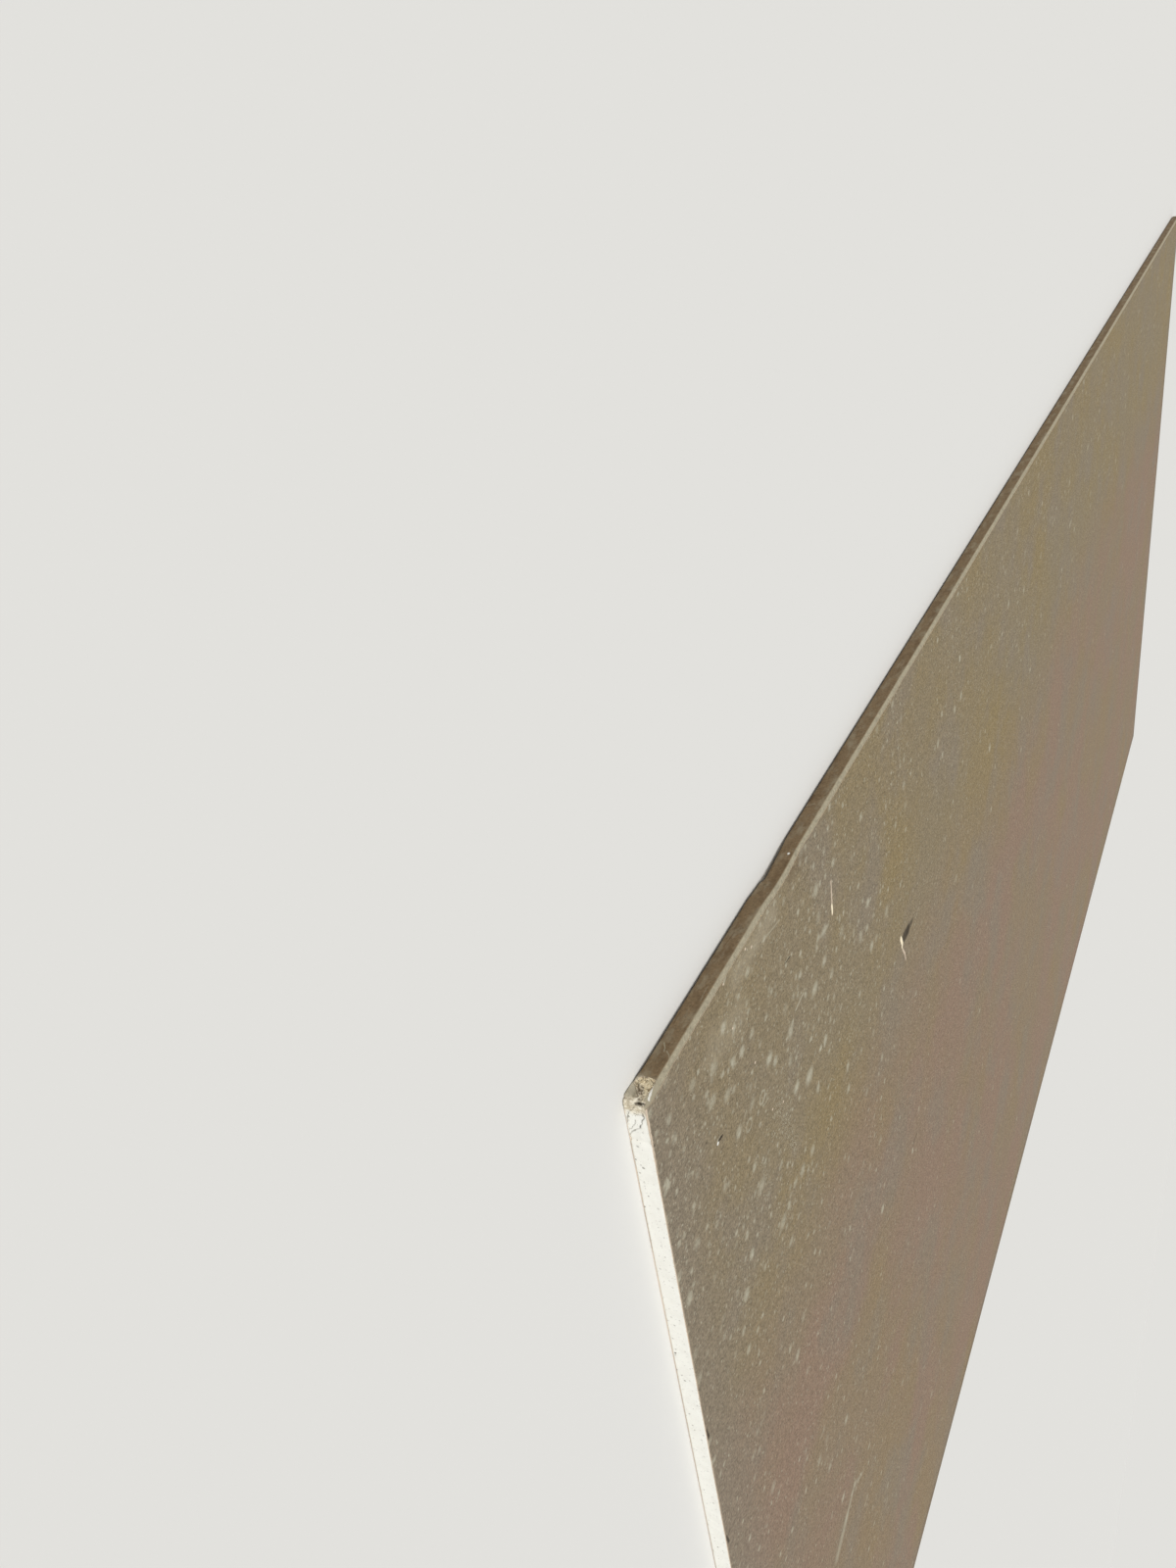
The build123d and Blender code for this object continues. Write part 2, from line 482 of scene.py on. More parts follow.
def build_core(settings, material):
    """The plaster core. Its section is a grid of columns across and levels up, whose rim is
    carried along the sheet, and whose middle closes both cut ends with a chalky relief."""
    from_edge = spaced((20, 1.2), (60, 1), (420, 1.6), (2 * HALF_WIDTH / MM, 9))
    outermost = HALF_WIDTH - WRAP_PAPER
    across = np.unique(np.clip(HALF_WIDTH - from_edge, -outermost, outermost))
    low, high = (limit[:, None] for limit in core_heights(across, settings))
    heights = low + (high - low) * np.linspace(0, 1, CORE_LEVELS)
    section = np.stack((np.broadcast_to(across[:, None], heights.shape), heights), -1)
    stations = NEAR_END + spaced((24, 2), (176, 76), (256, 8), (LENGTH / MM, 560))
    wall = knocked(carried(rim_of(section), stations), settings, WRAP_PAPER)
    sunk = SIDE_SUNK * smooth(wall[..., 0] - NEAR_END, SIDE_PATCH + 4 * MM, SIDE_PATCH - 1 * MM)
    wall[..., 1] -= np.where(wall[..., 1] > HALF_WIDTH - 4 * MM, sunk, 0)
    middle = section[1:-1, 1:-1]
    ends = carried(middle.reshape(-1, 2), stations[[0, -1]])
    ends[0] = knocked(ends[0], settings, WRAP_PAPER)

    numbers = np.arange(wall[..., 0].size).reshape(wall.shape[:2])
    on_end = numbers.size + np.arange(ends[..., 0].size).reshape(2, *middle.shape[:2])
    places = np.arange(heights.size).reshape(heights.shape)
    faces = [quads(np.column_stack((numbers, numbers[:, 0])))]
    for end, turned in ((0, 1), (-1, -1)):
        grid = places.copy()
        grid.flat[rim_of(places)] = numbers[end]
        grid[1:-1, 1:-1] = on_end[end]
        faces.append(quads(grid)[:, ::turned])
    points = np.concatenate((wall.reshape(-1, 3), ends.reshape(-1, 3)))

    near = points[:, 0] < NEAR_END + ON_END
    far = points[:, 0] > FAR_END - ON_END
    relief = np.maximum(CUT_RECESS + CUT_RELIEF * fractal(points, 2.5, 3, 5), 0)
    from_edge = HALF_WIDTH - points[:, 1]
    under_patch = END_SUNK * smooth(from_edge, END_PATCH + 1 * MM, END_PATCH - 2 * MM)
    points[near, 0] += relief[near] + under_patch[near]
    points[far, 0] -= relief[far]
    by_paper = np.repeat((1.0, 0.0), (numbers.size, on_end.size))
    return mesh_object(
        "gypsum_core_finish", points, np.concatenate(faces), material, {"by_paper": by_paper}
    )


def torn_share(from_end, height, settings):
    """1 where the face paper is torn off the side of the edge, 0 where it holds: all of the
    rounded corner, the upper half beside it, then a band that slants down to the front fold,
    with ragged rims."""
    damage, edge = settings.damage, settings.edge
    fold = THICKNESS - edge.bevel_depth
    place = np.stack((from_end, height, np.zeros_like(height)), -1)
    ragged = 0.8 * MM * fractal(place, 2.4, 3, 11)
    lower = 5.9 * MM - 3.7 * MM * eased(from_end, 5.5, 12.5)
    inside = np.minimum(damage.torn_length - from_end, height - lower)
    inside = np.minimum(inside, fold - 0.5 * MM - height) + ragged
    at_corner = 2.4 * MM + 0.5 * ragged - from_end
    at_corner = np.minimum(at_corner, height - edge.taper_depth + 0.4 * MM)
    return eased(np.maximum(inside, at_corner), -0.1, 0.2)


def crumple(points, settings):
    """How far the crushed edge stands in or out of its smooth shape: sharp creases, where
    the noise changes sign, that fade out along the edge and across the strip."""
    from_end = points[..., 0] - NEAR_END
    fade = smooth(from_end, settings.damage.torn_length + 8 * MM, 5 * MM)
    at_edge = eased(HALF_WIDTH - points[..., 1], 10, 2)
    wide, fine = np.abs(noise(points, 4.6, 21)), np.abs(noise(points, 2.1, 23))
    return fade * at_edge * 0.5 * MM * (1 - 2.2 * wide - 1.1 * fine)


# How far torn paper sinks below the crushed plaster, which then shows in its place
TORN_SINK = 2.2 * MM


def build_wrap(settings, material):
    """The face paper: a line from one folded flap, over the bevel, round the edge, across the
    front and back up to the other flap, thickened inwards and carried along the sheet."""
    edge = settings.edge
    near_half = [
        (HALF_WIDTH - edge.flap_reach, FLAP_TOP), (LINER_EDGE - 3 * MM, FLAP_TOP),
        (HALF_WIDTH - edge.bevel_width, FLAP_TOP), (HALF_WIDTH, THICKNESS - edge.bevel_depth),
        (HALF_WIDTH, edge.taper_depth), (HALF_WIDTH - edge.taper_width, 0),
    ]
    far_half = [(-y, z) for y, z in near_half[::-1]]
    radii = [0, 0, 0.6 * MM, edge.fold_radius, edge.fold_radius, 60 * MM]
    steps = np.array((7, 0.5, 0.4, 0.32, 4, 46, 6, 1.6, 1.6, 1.6, 9)) * MM
    line = rounded_line(near_half + far_half, radii + radii[::-1], steps)
    inner_line = line - side_normals(line) * WRAP_PAPER
    stations = NEAR_END + spaced(
        (22, 0.32), (60, 3), (150, 9), (236, 1.6), (350, 6), (LENGTH / MM, 32)
    )
    outside = knocked(carried(line, stations), settings, 0)
    inside = knocked(carried(inner_line, stations), settings, WRAP_PAPER)

    height = np.broadcast_to(line[:, 1], outside.shape[:2])
    on_side = line[:, 0] > HALF_WIDTH - 2 * MM
    torn = torn_share(outside[..., 0] - NEAR_END, height, settings) * on_side
    creased = crumple(outside, settings)
    in_y = np.minimum(creased, 0.1 * MM) - torn * TORN_SINK
    in_y -= 0.1 * MM * np.abs(noise(outside, 14, 25)) * (height > edge.taper_depth)
    in_z = np.minimum(0.4 * creased * eased(height, 7, 10), 0)
    for body in (outside, inside):
        body[..., 1] += np.where(body[..., 1] > 0, in_y, 0)
        body[..., 2] += np.where(body[..., 1] > 0, in_z, 0)
    rag = 0.35 * MM * np.abs(fractal(outside * (0, 1, 1), 1.8, 3, 31))
    fray_ends((outside, inside), rag, 1.5)
    travel = travelled(line)
    return slab_object(
        "face_paper_finish", outside, inside, material,
        round_edge=np.minimum(travel, travel[-1] - travel), torn=torn,
    )


GOUGES = (
    # start and end from the near end and the long edge, width and depth, in millimetres
    (65.7, 94.2, 70.8, 95.0, 1.4, 0.34),
    (181.3, 60.3, 188.8, 61.5, 1.3, 0.3),
    (433.0, 236.0, 458.0, 239.0, 10.0, 0.36),
)
# The back paper's top never sinks deeper than this, so it stays above its underside
DEEPEST_SINK = 0.38 * MM


def build_liner(settings, material):
    """The back paper: a thin slab whose top is lowered by slow waves and by a few gouges, each
    within its width of a line, and whose rims are a little ragged. Its near rim steps back
    beside the crushed corner and follows the knocks of the edge."""
    along = spaced(
        (24, 0.8), (72, 1.2), (160, 5), (240, 1.6), (420, 8), (462, 1.4), (LENGTH / MM, 27)
    )
    from_rim = spaced(
        (12, 0.7), (56, 5), (60, 0.8), (88, 4), (93, 0.7), (224, 9), (242, 1.2),
        (2 * LINER_EDGE / MM, 24),
    )
    x, y = np.meshgrid(NEAR_END + along, LINER_EDGE - from_rim, indexing="ij")
    flat = np.stack((x, y, np.full_like(x, THICKNESS)), -1)
    sink = 0.06 * MM * (1 + noise(flat, 70, 41))
    from_corner = np.stack((x - NEAR_END, HALF_WIDTH - y), -1)
    for *line, width, depth in np.array(GOUGES) * MM:
        share, away = from_run(from_corner, *np.reshape(line, (2, 2)))
        half = width / 2 * (1 - 0.8 * share)
        sink += depth * smooth(away, half, 0.2 * half)
    top, bottom = flat.copy(), flat.copy()
    top[..., 2] -= np.minimum(sink, DEEPEST_SINK)
    bottom[..., 2] = FLAP_TOP

    rag_end = 0.3 * MM * np.abs(fractal(flat * (0, 1, 1), 1.6, 3, 43))
    rag_side = 0.2 * MM * fractal(flat * (1, 0, 1), 3, 3, 47)
    step_back = 1.5 * MM * eased(along, 30, 16) * eased(along, 0, 6)
    step_out = 0.9 * MM * eased(np.abs(along - 222 * MM), 16, 4)
    shifted = np.sign(y) * rag_side * eased(LINER_EDGE - np.abs(y), 1.6, 0)
    shifted += eased(LINER_EDGE - y, 10, 0) * (step_out - step_back)[:, None]
    for body in (top, bottom):
        body[..., :2] = knocked(body, settings, 0)[..., :2]
        body[..., 1] += shifted
    fray_ends((top, bottom), rag_end, 1.6)
    return slab_object("back_paper_finish", top, bottom, material)


CRACKS = (
    # points in millimetres: along the skin, which is negative across the end, and up from the
    # front, then width and strength
    (((-4.9, 10.0), (-6.4, 10.4), (-7.8, 10.2), (-9.7, 9.8), (-10.7, 9.2), (-12.8, 8.4),
      (-14.9, 7.2), (-16.1, 6.6), (-17.2, 5.1), (-19.1, 3.5), (-20.3, 2.3), (-21.8, 1.3),
      (-25.3, 0.9)), 1.2, 0.65),
    (((-11.1, 5.5), (-13.9, 4.9), (-15.9, 3.8), (-17.6, 2.9), (-18.9, 1.4)), 1.0, 0.45),
    (((-6.6, 9.6), (-6.8, 8.1), (-7.2, 6.9), (-7.0, 5.6)), 1.5, 0.55),
    (((-2.2, 6.4), (-3.0, 5.4), (-4.5, 4.8), (-5.7, 4.0), (-7.0, 3.1), (-9.1, 2.4),
      (-11.8, 1.6), (-14.4, 1.4)), 1.1, 0.55),
    (((-14.4, 7.4), (-15.6, 7.0)), 2.1, 0.8),
    (((-5.3, 10.0), (-7.3, 9.8)), 2.3, 0.6),
)
SHADED_FOLDS = (
    # the same for painted shade in the folds of the crumple beside the corner
    (((12.4, 2.8), (10.8, 4.0), (9.2, 5.2), (7.8, 6.3)), 3.0, 0.9),
    (((3.6, 9.8), (2.7, 8.6), (3.0, 7.6)), 2.4, 0.8),
    (((10.6, 9.6), (11.4, 8.6), (10.8, 7.6)), 1.0, 0.6),
    (((6.4, 9.8), (6.0, 8.6), (6.6, 7.6)), 1.0, 0.6),
)
RAISED_FOLDS = (
    # the same for painted highlights on its folds
    (((14.2, 7.0), (12.0, 6.9), (10.0, 7.9), (8.8, 8.8), (7.8, 9.0)), 1.9, 0.9),
    (((5.9, 6.8), (4.9, 7.2), (4.4, 8.4), (5.0, 9.6)), 1.5, 0.8),
    (((15.4, 3.0), (15.0, 5.4), (14.0, 4.2)), 2.2, 0.8),
)
CRUSHED_STEP = 0.19 * MM
CRUSHED_LEVELS = 56
CRUSHED_DEPTH = 3.4 * MM
BORDER_DEPTH = 0.8 * MM


def build_crushed_corner(settings, material):
    """Crushed plaster at the corner: a plan line along the side, round the corner and across
    the end, raised between the core's underside and top. Its skin carries the crumple, the
    lump of torn plies, a slit near the corner and the cracks, each within its width of a line,
    and a second skin inside closes it."""
    damage = settings.damage
    start = SIDE_PATCH + 3 * MM
    edge_line = HALF_WIDTH - WRAP_PAPER
    plan = rounded_line(
        [(start, edge_line), (CUT_RECESS, edge_line), (CUT_RECESS, HALF_WIDTH - END_PATCH)],
        [0, damage.corner_round - WRAP_PAPER, 0], [CRUSHED_STEP, CRUSHED_STEP],
    )
    low, high = (limit[:, None] for limit in core_heights(plan[:, 1], settings))
    height = low + (high - low) * np.linspace(0, 1, CRUSHED_LEVELS)
    skin = np.stack(np.broadcast_arrays(NEAR_END + plan[:, :1], plan[:, 1:], height), -1)
    skin[..., 2] -= squashed(skin, settings)
    crush = knock_places(settings)[0]
    skin = pressed(skin, crush, damage.crush_radius + WRAP_PAPER, (0, -1, 0))

    travel = travelled(plan)
    to_end = (start - travel)[:, None]
    on_side = eased(to_end, 0.5, 3)
    across = np.clip(HALF_WIDTH - plan[:, 1], 0, 1)[:, None]
    rough = fractal(skin, 3.2, 4, 61)
    creases = np.abs(noise(skin, 2.6, 62)) + 0.6 * np.abs(noise(skin, 1.2, 64))
    side_depth = 0.25 * MM + 0.9 * MM * creases + 0.25 * MM * rough
    slant = 12.2 * MM - 4.2 * MM * eased(height, 4.3, 8.5)
    plies = eased(to_end - slant + 0.7 * MM * noise(skin, 2, 65), 0, 1.2)
    crevice = smooth(np.abs(noise(skin, 2.3, 66) + 0.3 * rough), 0.17, 0.05)
    side_depth = side_depth * (1 - plies) + plies * MM * (0.1 + 0.2 * creases + 0.7 * crevice)
    beside = eased(across, 9, 3)
    end_depth = 0.1 * MM * (1 + rough) + (0.5 * creases - 0.45) * MM * beside
    depth = on_side * side_depth + (1 - on_side) * end_depth

    slit_line = 0.6 * MM + 0.12 * (height - 9 * MM) + 0.25 * MM * noise(skin, 2, 63)
    slit_half = 1.05 * MM - 0.24 * np.abs(height - 9.2 * MM)
    slit = eased(np.abs(to_end - slit_line) - slit_half, 0.3, -0.3)
    slit *= eased(height, 5.6, 6.8)
    along = to_end + 0.4 * MM * fractal(skin, 2.2, 4, 67)
    up = height + 0.35 * MM * fractal(skin, 2.2, 4, 69)
    unrolled = np.stack((along, up), -1)

    def lines(listed):
        mask = np.zeros_like(height)
        for line, width, strength in listed:
            corners = np.array(line) * MM
            runs = zip(corners[:-1], corners[1:])
            away = np.min([from_run(unrolled, *run)[1] for run in runs], 0) / (width * MM)
            shape = 0.4 * smooth(away, 0.5, 0.1) + 0.6 * smooth(away, 0.26, 0.1)
            mask = np.maximum(mask, strength * shape)
        return mask

    cracks = lines(CRACKS) * (0.6 + 0.4 * smooth(noise(skin, 1.7, 71), -0.5, 0.1))
    shaded, raised = lines(SHADED_FOLDS), lines(RAISED_FOLDS)
    depth = depth + 0.9 * MM * slit + 0.4 * MM * cracks + 0.3 * MM * (shaded - raised)
    to_inner_end = (travel[-1] - travel)[:, None] + 1.2 * MM * noise(skin, 3, 73)
    border = np.maximum(eased(travel, 1.5, 0)[:, None], eased(to_inner_end, 3.6, 1.3))
    depth = depth * (1 - border) + border * BORDER_DEPTH
    inward = np.column_stack((side_normals(plan), np.zeros(len(plan))))[:, None]
    dusty = eased(across + 1.2 * MM * noise(skin, 2.2, 75), 10.5, 6)
    # hollow is painted shade in the deep creases, in the crevices between the plies and on the
    # shaded folds; fold is a painted highlight on the crumple's crests and raised folds.
    hollow = 0.8 * smooth(creases, 0.55, 0.95) * (1 - plies) + 0.65 * crevice * plies
    hollow = np.maximum(hollow * (1 - raised), shaded)
    fold = np.maximum(0.7 * smooth(creases, 0.34, 0.12) * (1 - plies), raised)
    return slab_object(
        "crushed_plaster", skin + inward * depth[..., None], skin + inward * CRUSHED_DEPTH,
        material, crack=cracks, slit=slit, dusty=np.maximum(on_side, dusty),
        plies=plies * on_side, hollow=hollow * on_side, fold=fold * on_side,
    )


RIBBON_ROWS = 9
LEAST_CURL = 0.05
# Where the torn bits and the fibres are kept, so that none reaches far out of the sheet
ROOM_LOW = (-math.inf, -HALF_WIDTH, 0.05 * MM)
ROOM_HIGH = (math.inf, HALF_WIDTH + 0.9 * MM, THICKNESS + 0.1 * MM)


def build_ribbons(name, roots, ways, sizes, curl, material, seed):
    """Thin strips of paper. Each starts at its root and runs along its way on an arc that
    turns through its curl, with a width that tapers to its tip and a small thickness."""
    share = np.linspace(0, 1, RIBBON_ROWS)[None, :, None]
    count = len(roots)
    length, width, thick = (sizes[:, i, None, None] for i in range(3))
    ways = ways / np.linalg.norm(ways, axis=1, keepdims=True)
    beside = np.cross(ways, np.random.default_rng(seed).normal(0, 1, (count, 3)))
    beside /= np.linalg.norm(beside, axis=1, keepdims=True)
    lift = np.cross(beside, ways)[:, None]
    turn = np.where(np.abs(curl) < LEAST_CURL, LEAST_CURL, curl)[:, None, None]
    middle = roots[:, None] + length / turn * (
        ways[:, None] * np.sin(turn * share) + lift * (1 - np.cos(turn * share))
    )
    out = lift * np.cos(turn * share) - ways[:, None] * np.sin(turn * share)
    half = beside[:, None] * width / 2 * (1 - 0.7 * share**1.5)
    up_half = out * thick / 2
    ring = np.stack(
        (middle - half - up_half, middle + half - up_half, middle + half + up_half,
         middle - half + up_half), 2,
    )
    ring = np.clip(ring, ROOM_LOW, ROOM_HIGH)
    numbers = np.arange(ring[..., 0].size).reshape(ring.shape[:3])
    around = np.concatenate((numbers, numbers[:, :, :1]), 2)
    faces = np.concatenate((quads(around), numbers[:, 0], numbers[:, -1, ::-1]))
    return mesh_object(name, ring.reshape(-1, 3), faces, material, smooth_faces=False)


FLAP_COUNT = 60
FIBRE_COUNT = 1400


def drawing(seed, count):
    """A function that draws count values between two limits, evenly spread."""
    draw = np.random.default_rng(seed)
    return lambda low, high: draw.uniform(low, high, count)


def build_torn_flaps(settings, material):
    """Curled bits of torn paper along the far rim of the tear and under the fold above it."""
    draw = drawing(5, FLAP_COUNT)
    torn_length = settings.damage.torn_length
    fold = THICKNESS - settings.edge.bevel_depth
    on_rim = draw(0, 1) < 0.75
    height = np.where(on_rim, draw(2.0, 10.3) * MM, fold - draw(0.2, 1.4) * MM)
    from_end = np.where(on_rim, torn_length - draw(0, 5.5) ** 1.15 * MM, draw(1.5, 14) * MM)
    roots = np.column_stack((NEAR_END + from_end, HALF_WIDTH - draw(0.5, 1.1) * MM, height))
    ways = np.column_stack((draw(-1, 0.5), draw(0.0, 0.45), draw(-0.9, 0.9)))
    thick = np.full(FLAP_COUNT, 0.07)
    sizes = np.column_stack((draw(0.6, 1.8), draw(0.2, 0.7), thick)) * MM
    return build_ribbons("torn_paper", roots, ways, sizes, draw(-2.6, 2.6), material, 6)


def build_fuzz(settings, material):
    """Short fibres that stand out of the papers' cut rims along both ends."""
    draw = drawing(8, FIBRE_COUNT)
    across = HALF_WIDTH - 2 * HALF_WIDTH * draw(0, 1) ** 1.6
    near = draw(0, 1) < 0.75
    above = draw(0, 1) < 0.6
    low, _ = core_heights(across, settings)
    x = np.where(near, NEAR_END + 0.35 * MM, FAR_END - 0.35 * MM)
    in_edge = np.abs(across) > LINER_EDGE
    z = np.where(above & ~in_edge, THICKNESS - 0.2 * MM, low - 0.15 * MM)
    roots = np.column_stack((x, np.clip(across, -LINER_EDGE, LINER_EDGE), z))
    outwards, upwards = np.where(near, -1.0, 1.0), np.where(above, -1, 1)
    ways = np.column_stack((outwards * draw(0.0, 0.35), draw(-1, 1), upwards * draw(0.1, 0.7)))
    thick = np.full(FIBRE_COUNT, 0.04)
    sizes = np.column_stack((draw(0.4, 1.5), draw(0.05, 0.12), thick)) * MM
    return build_ribbons("paper_fuzz", roots, ways, sizes, draw(-1.5, 1.5), material, 9)


# Materials

class Value:
    """An output of a node, with which sums, differences and products can be written."""

    def __init__(self, socket):
        self.socket = socket
        self.tree = socket.id_data

    def __add__(self, other):
        return calc("ADD", self, other)

    def __sub__(self, other):
        return calc("SUBTRACT", self, other)

    def __rsub__(self, other):
        return calc("SUBTRACT", other, self)

    def __mul__(self, other):
        return calc("MULTIPLY", self, other)

    def ramp(self, low, high, to_low=0.0, to_high=1.0, kind="SMOOTHSTEP"):
        """The value taken from low to high, smoothly unless kind says otherwise."""
        inputs = {"Value": self, "From Min": low, "From Max": high, "To Min": to_low,
                  "To Max": to_high}
        return add_node(
            self.tree, "ShaderNodeMapRange", "Result", inputs, interpolation_type=kind
        )

    def moved(self, scale, shift=(0, 0, 0)):
        """The vector scaled along each axis and then shifted."""
        inputs = {"Vector": self, "Scale": scale, "Location": shift}
        return add_node(self.tree, "ShaderNodeMapping", 0, inputs)

    def noise(self, scale, detail=3.0, roughness=0.55, out=0):
        """Noise at this place: its value, or its colour if out is 1."""
        inputs = {"Vector": self, "Scale": scale, "Detail": detail, "Roughness": roughness}
        return add_node(self.tree, "ShaderNodeTexNoise", out, inputs)


def add_node(tree, kind, out, inputs=None, **settings):
    """A node with its settings, and its inputs by name or number: a plain value or a Value.
    Gives back the output that out names, or a list if it names several."""
    made = tree.nodes.new(kind)
    for name, value in settings.items():
        setattr(made, name, value)
    for name, value in (inputs or {}).items():
        if isinstance(value, Value):
            tree.links.new(value.socket, made.inputs[name])
        else:
            made.inputs[name].default_value = value
    if isinstance(out, tuple):
        return [Value(made.outputs[label]) for label in out]
    return Value(made.outputs[out])


def tree_of(*terms):
    """The node tree that the first Value among the terms is in."""
    return next(term.tree for term in terms if isinstance(term, Value))


def calc(operation, *terms):
    """The result of a math node."""
    inputs = dict(enumerate(terms))
    return add_node(tree_of(*terms), "ShaderNodeMath", 0, inputs, operation=operation)


def vector_calc(operation, first, second=(0.0, 0.0, 0.0), out="Vector"):
    """A result of a vector math node, where second is the factor of a scaling."""
    inputs = {0: first, "Scale" if operation == "SCALE" else 1: second}
    return add_node(first.tree, "ShaderNodeVectorMath", out, inputs, operation=operation)


def blend(factor, first, second, mode="MIX"):
    """Two colours mixed by a factor."""
    tree = tree_of(factor, first, second)
    first, second = (c if isinstance(c, Value) else (*c, 1.0) for c in (first, second))
    inputs = {0: factor, 6: first, 7: second}
    return add_node(tree, "ShaderNodeMix", 2, inputs, data_type="RGBA", blend_type=mode)


def shaded(colour, light):
    """A colour multiplied by a value."""
    grey = add_node(light.tree, "ShaderNodeCombineColor", 0, {0: light, 1: light, 2: light})
    return blend(1.0, colour, grey, "MULTIPLY")


def object_place(tree):
    """Object coordinates."""
    return add_node(tree, "ShaderNodeTexCoord", "Object")


def attribute(tree, label):
    """One of the mesh's own attributes."""
    return add_node(tree, "ShaderNodeAttribute", "Fac", attribute_name=label)


def axes(place):
    """The three coordinates of a place."""
    return add_node(place.tree, "ShaderNodeSeparateXYZ", (0, 1, 2), {0: place})


def bent(place, reach):
    """A place moved about by noise, at most by half of reach, so that no rim that is drawn on
    it is a true curve."""
    wobble = vector_calc("SUBTRACT", place.noise(330.0, 3.0, 0.6, out=1), (0.5, 0.5, 0.5))
    return vector_calc("ADD", place, vector_calc("SCALE", wobble, reach))


def start_group(name, **inputs):
    """An empty node group, and its inputs as Values from their names and defaults."""
    tree = bpy.data.node_groups.new(name, "ShaderNodeTree")
    for label, default in inputs.items():
        kind = "NodeSocketVector" if isinstance(default, tuple) else "NodeSocketFloat"
        socket = tree.interface.new_socket(label, in_out="INPUT", socket_type=kind)
        socket.default_value = default
    source = tree.nodes.new("NodeGroupInput")
    return tree, {label: Value(source.outputs[label]) for label in inputs}


def put_out(tree, **values):
    """Puts Values out of a node group by their names, and gives back the group."""
    for label in values:
        tree.interface.new_socket(label, in_out="OUTPUT", socket_type="NodeSocketFloat")
    sink = tree.nodes.new("NodeGroupOutput")
    for label, value in values.items():
        tree.links.new(value.socket, sink.inputs[label])
    return tree


@cache
def scattered_spots():
    """Round spots of random size, one to a cell, in the plane of the place's first two
    coordinates. Where the share falls, fewer cells have one."""
    origin = (0.0, 0.0, 0.0)
    tree, given = start_group(
        "scattered_spots", Place=origin, Cell=0.02, Radius=0.004, Share=0.4, Soft=0.5,
        Shift=origin,
    )
    place = vector_calc("ADD", given["Place"], given["Shift"])
    distance, colour = add_node(
        tree, "ShaderNodeTexVoronoi", ("Distance", "Color"),
        {"Vector": place, "Scale": calc("DIVIDE", 1.0, given["Cell"])},
        voronoi_dimensions="2D",
    )
    pick = add_node(tree, "ShaderNodeSeparateColor", (0, 1, 2), {0: colour})
    radius = given["Radius"] * (pick[0] * 0.8 + 0.35)
    core = radius * (1.0 - given["Soft"])
    inside = (distance * given["Cell"]).ramp(radius, core)
    there = (given["Share"] - pick[1]).ramp(0.0, 0.08)
    return put_out(tree, Spots=inside * there * (pick[2] * 0.7 + 0.3))


@cache
def paper_fibre():
    """The felt of recycled paper: a light that varies with fine mottle and with short fibres
    drawn out along the sheet, slow warm and cool patches, and a height for bump."""
    tree, given = start_group("paper_fibre", Dark=0.8, Bright=1.2)
    place = object_place(tree)
    mottle = place.noise(560.0, 4.0, 0.68)
    fibres = place.moved((0.35, 1.0, 1.0)).noise(1300.0, 3.0, 0.65)
    clouds = place.noise(170.0, 3.0, 0.6)
    light = mottle * 0.55 + fibres * 0.25 + clouds * 0.2
    return put_out(
        tree, Light=light.ramp(0.32, 0.68, given["Dark"], given["Bright"], "LINEAR"),
        Mottle=mottle, Warm=place.noise(5.0, 4.0, 0.6).ramp(0.38, 0.68),
        Cool=place.moved((1, 1, 1), (3.7, 1.9, 0)).noise(9.0, 4.0, 0.6).ramp(0.45, 0.68),
        Height=mottle + fibres,
    )


@cache
def paper_mark():
    """A straight mark: 1 within part of half its width of the line between two points, 0
    outside, and a ring where it falls. Plane takes away the axis that the mark is seen
    along, and the distance is to the nearest point of the line."""
    origin = (0.0, 0.0, 0.0)
    tree, given = start_group(
        "paper_mark", Place=origin, Start=origin, End=origin, Width=0.001, Soft=0.7,
        Plane=(1.0, 1.0, 0.0),
    )
    run = vector_calc("SUBTRACT", given["End"], given["Start"])
    offset = vector_calc("SUBTRACT", given["Place"], given["Start"])
    offset = vector_calc("MULTIPLY", offset, given["Plane"])
    share = calc("DIVIDE", vector_calc("DOT_PRODUCT", offset, run, "Value"),
                 vector_calc("DOT_PRODUCT", run, run, "Value"))
    share = add_node(tree, "ShaderNodeClamp", 0, {0: share})
    away = vector_calc("SUBTRACT", offset, vector_calc("SCALE", run, share))
    half = given["Width"] * 0.5
    shape = vector_calc("LENGTH", away, out="Value").ramp(half, half * (1.0 - given["Soft"]))
    return put_out(tree, Mark=shape, Ring=shape * (1.0 - shape) * 4.0)


def spots(place, cell, radius, share, soft, shift):
    """Scattered spots, sized in metres."""
    inputs = {"Place": place, "Cell": cell, "Radius": radius, "Share": share, "Soft": soft,
              "Shift": shift}
    return add_node(place.tree, "ShaderNodeGroup", "Spots", inputs, node_tree=scattered_spots())


def felt(tree, dark, bright):
    """The light, mottle, warm patches, cool patches and height of the paper's felt."""
    return add_node(
        tree, "ShaderNodeGroup", ("Light", "Mottle", "Warm", "Cool", "Height"),
        {"Dark": dark, "Bright": bright}, node_tree=paper_fibre(),
    )


def mark(place, line, width, soft, out="Mark", on_side=False):
    """A mark along a line, given in millimetres by its two ends: each from the near end, then
    from the damaged edge, or up from the front if the mark is on the side of the edge."""
    inputs = {"Place": place, "Width": width * MM, "Soft": soft}
    for label, (from_end, other) in zip(("Start", "End"), (line[:2], line[2:])):
        y, z = (0.0, other * MM) if on_side else (HALF_WIDTH - other * MM, 0.0)
        inputs[label] = (NEAR_END + from_end * MM, y, z)
    if on_side:
        inputs["Plane"] = (1.0, 0.0, 1.0)
    return add_node(place.tree, "ShaderNodeGroup", out, inputs, node_tree=paper_mark())


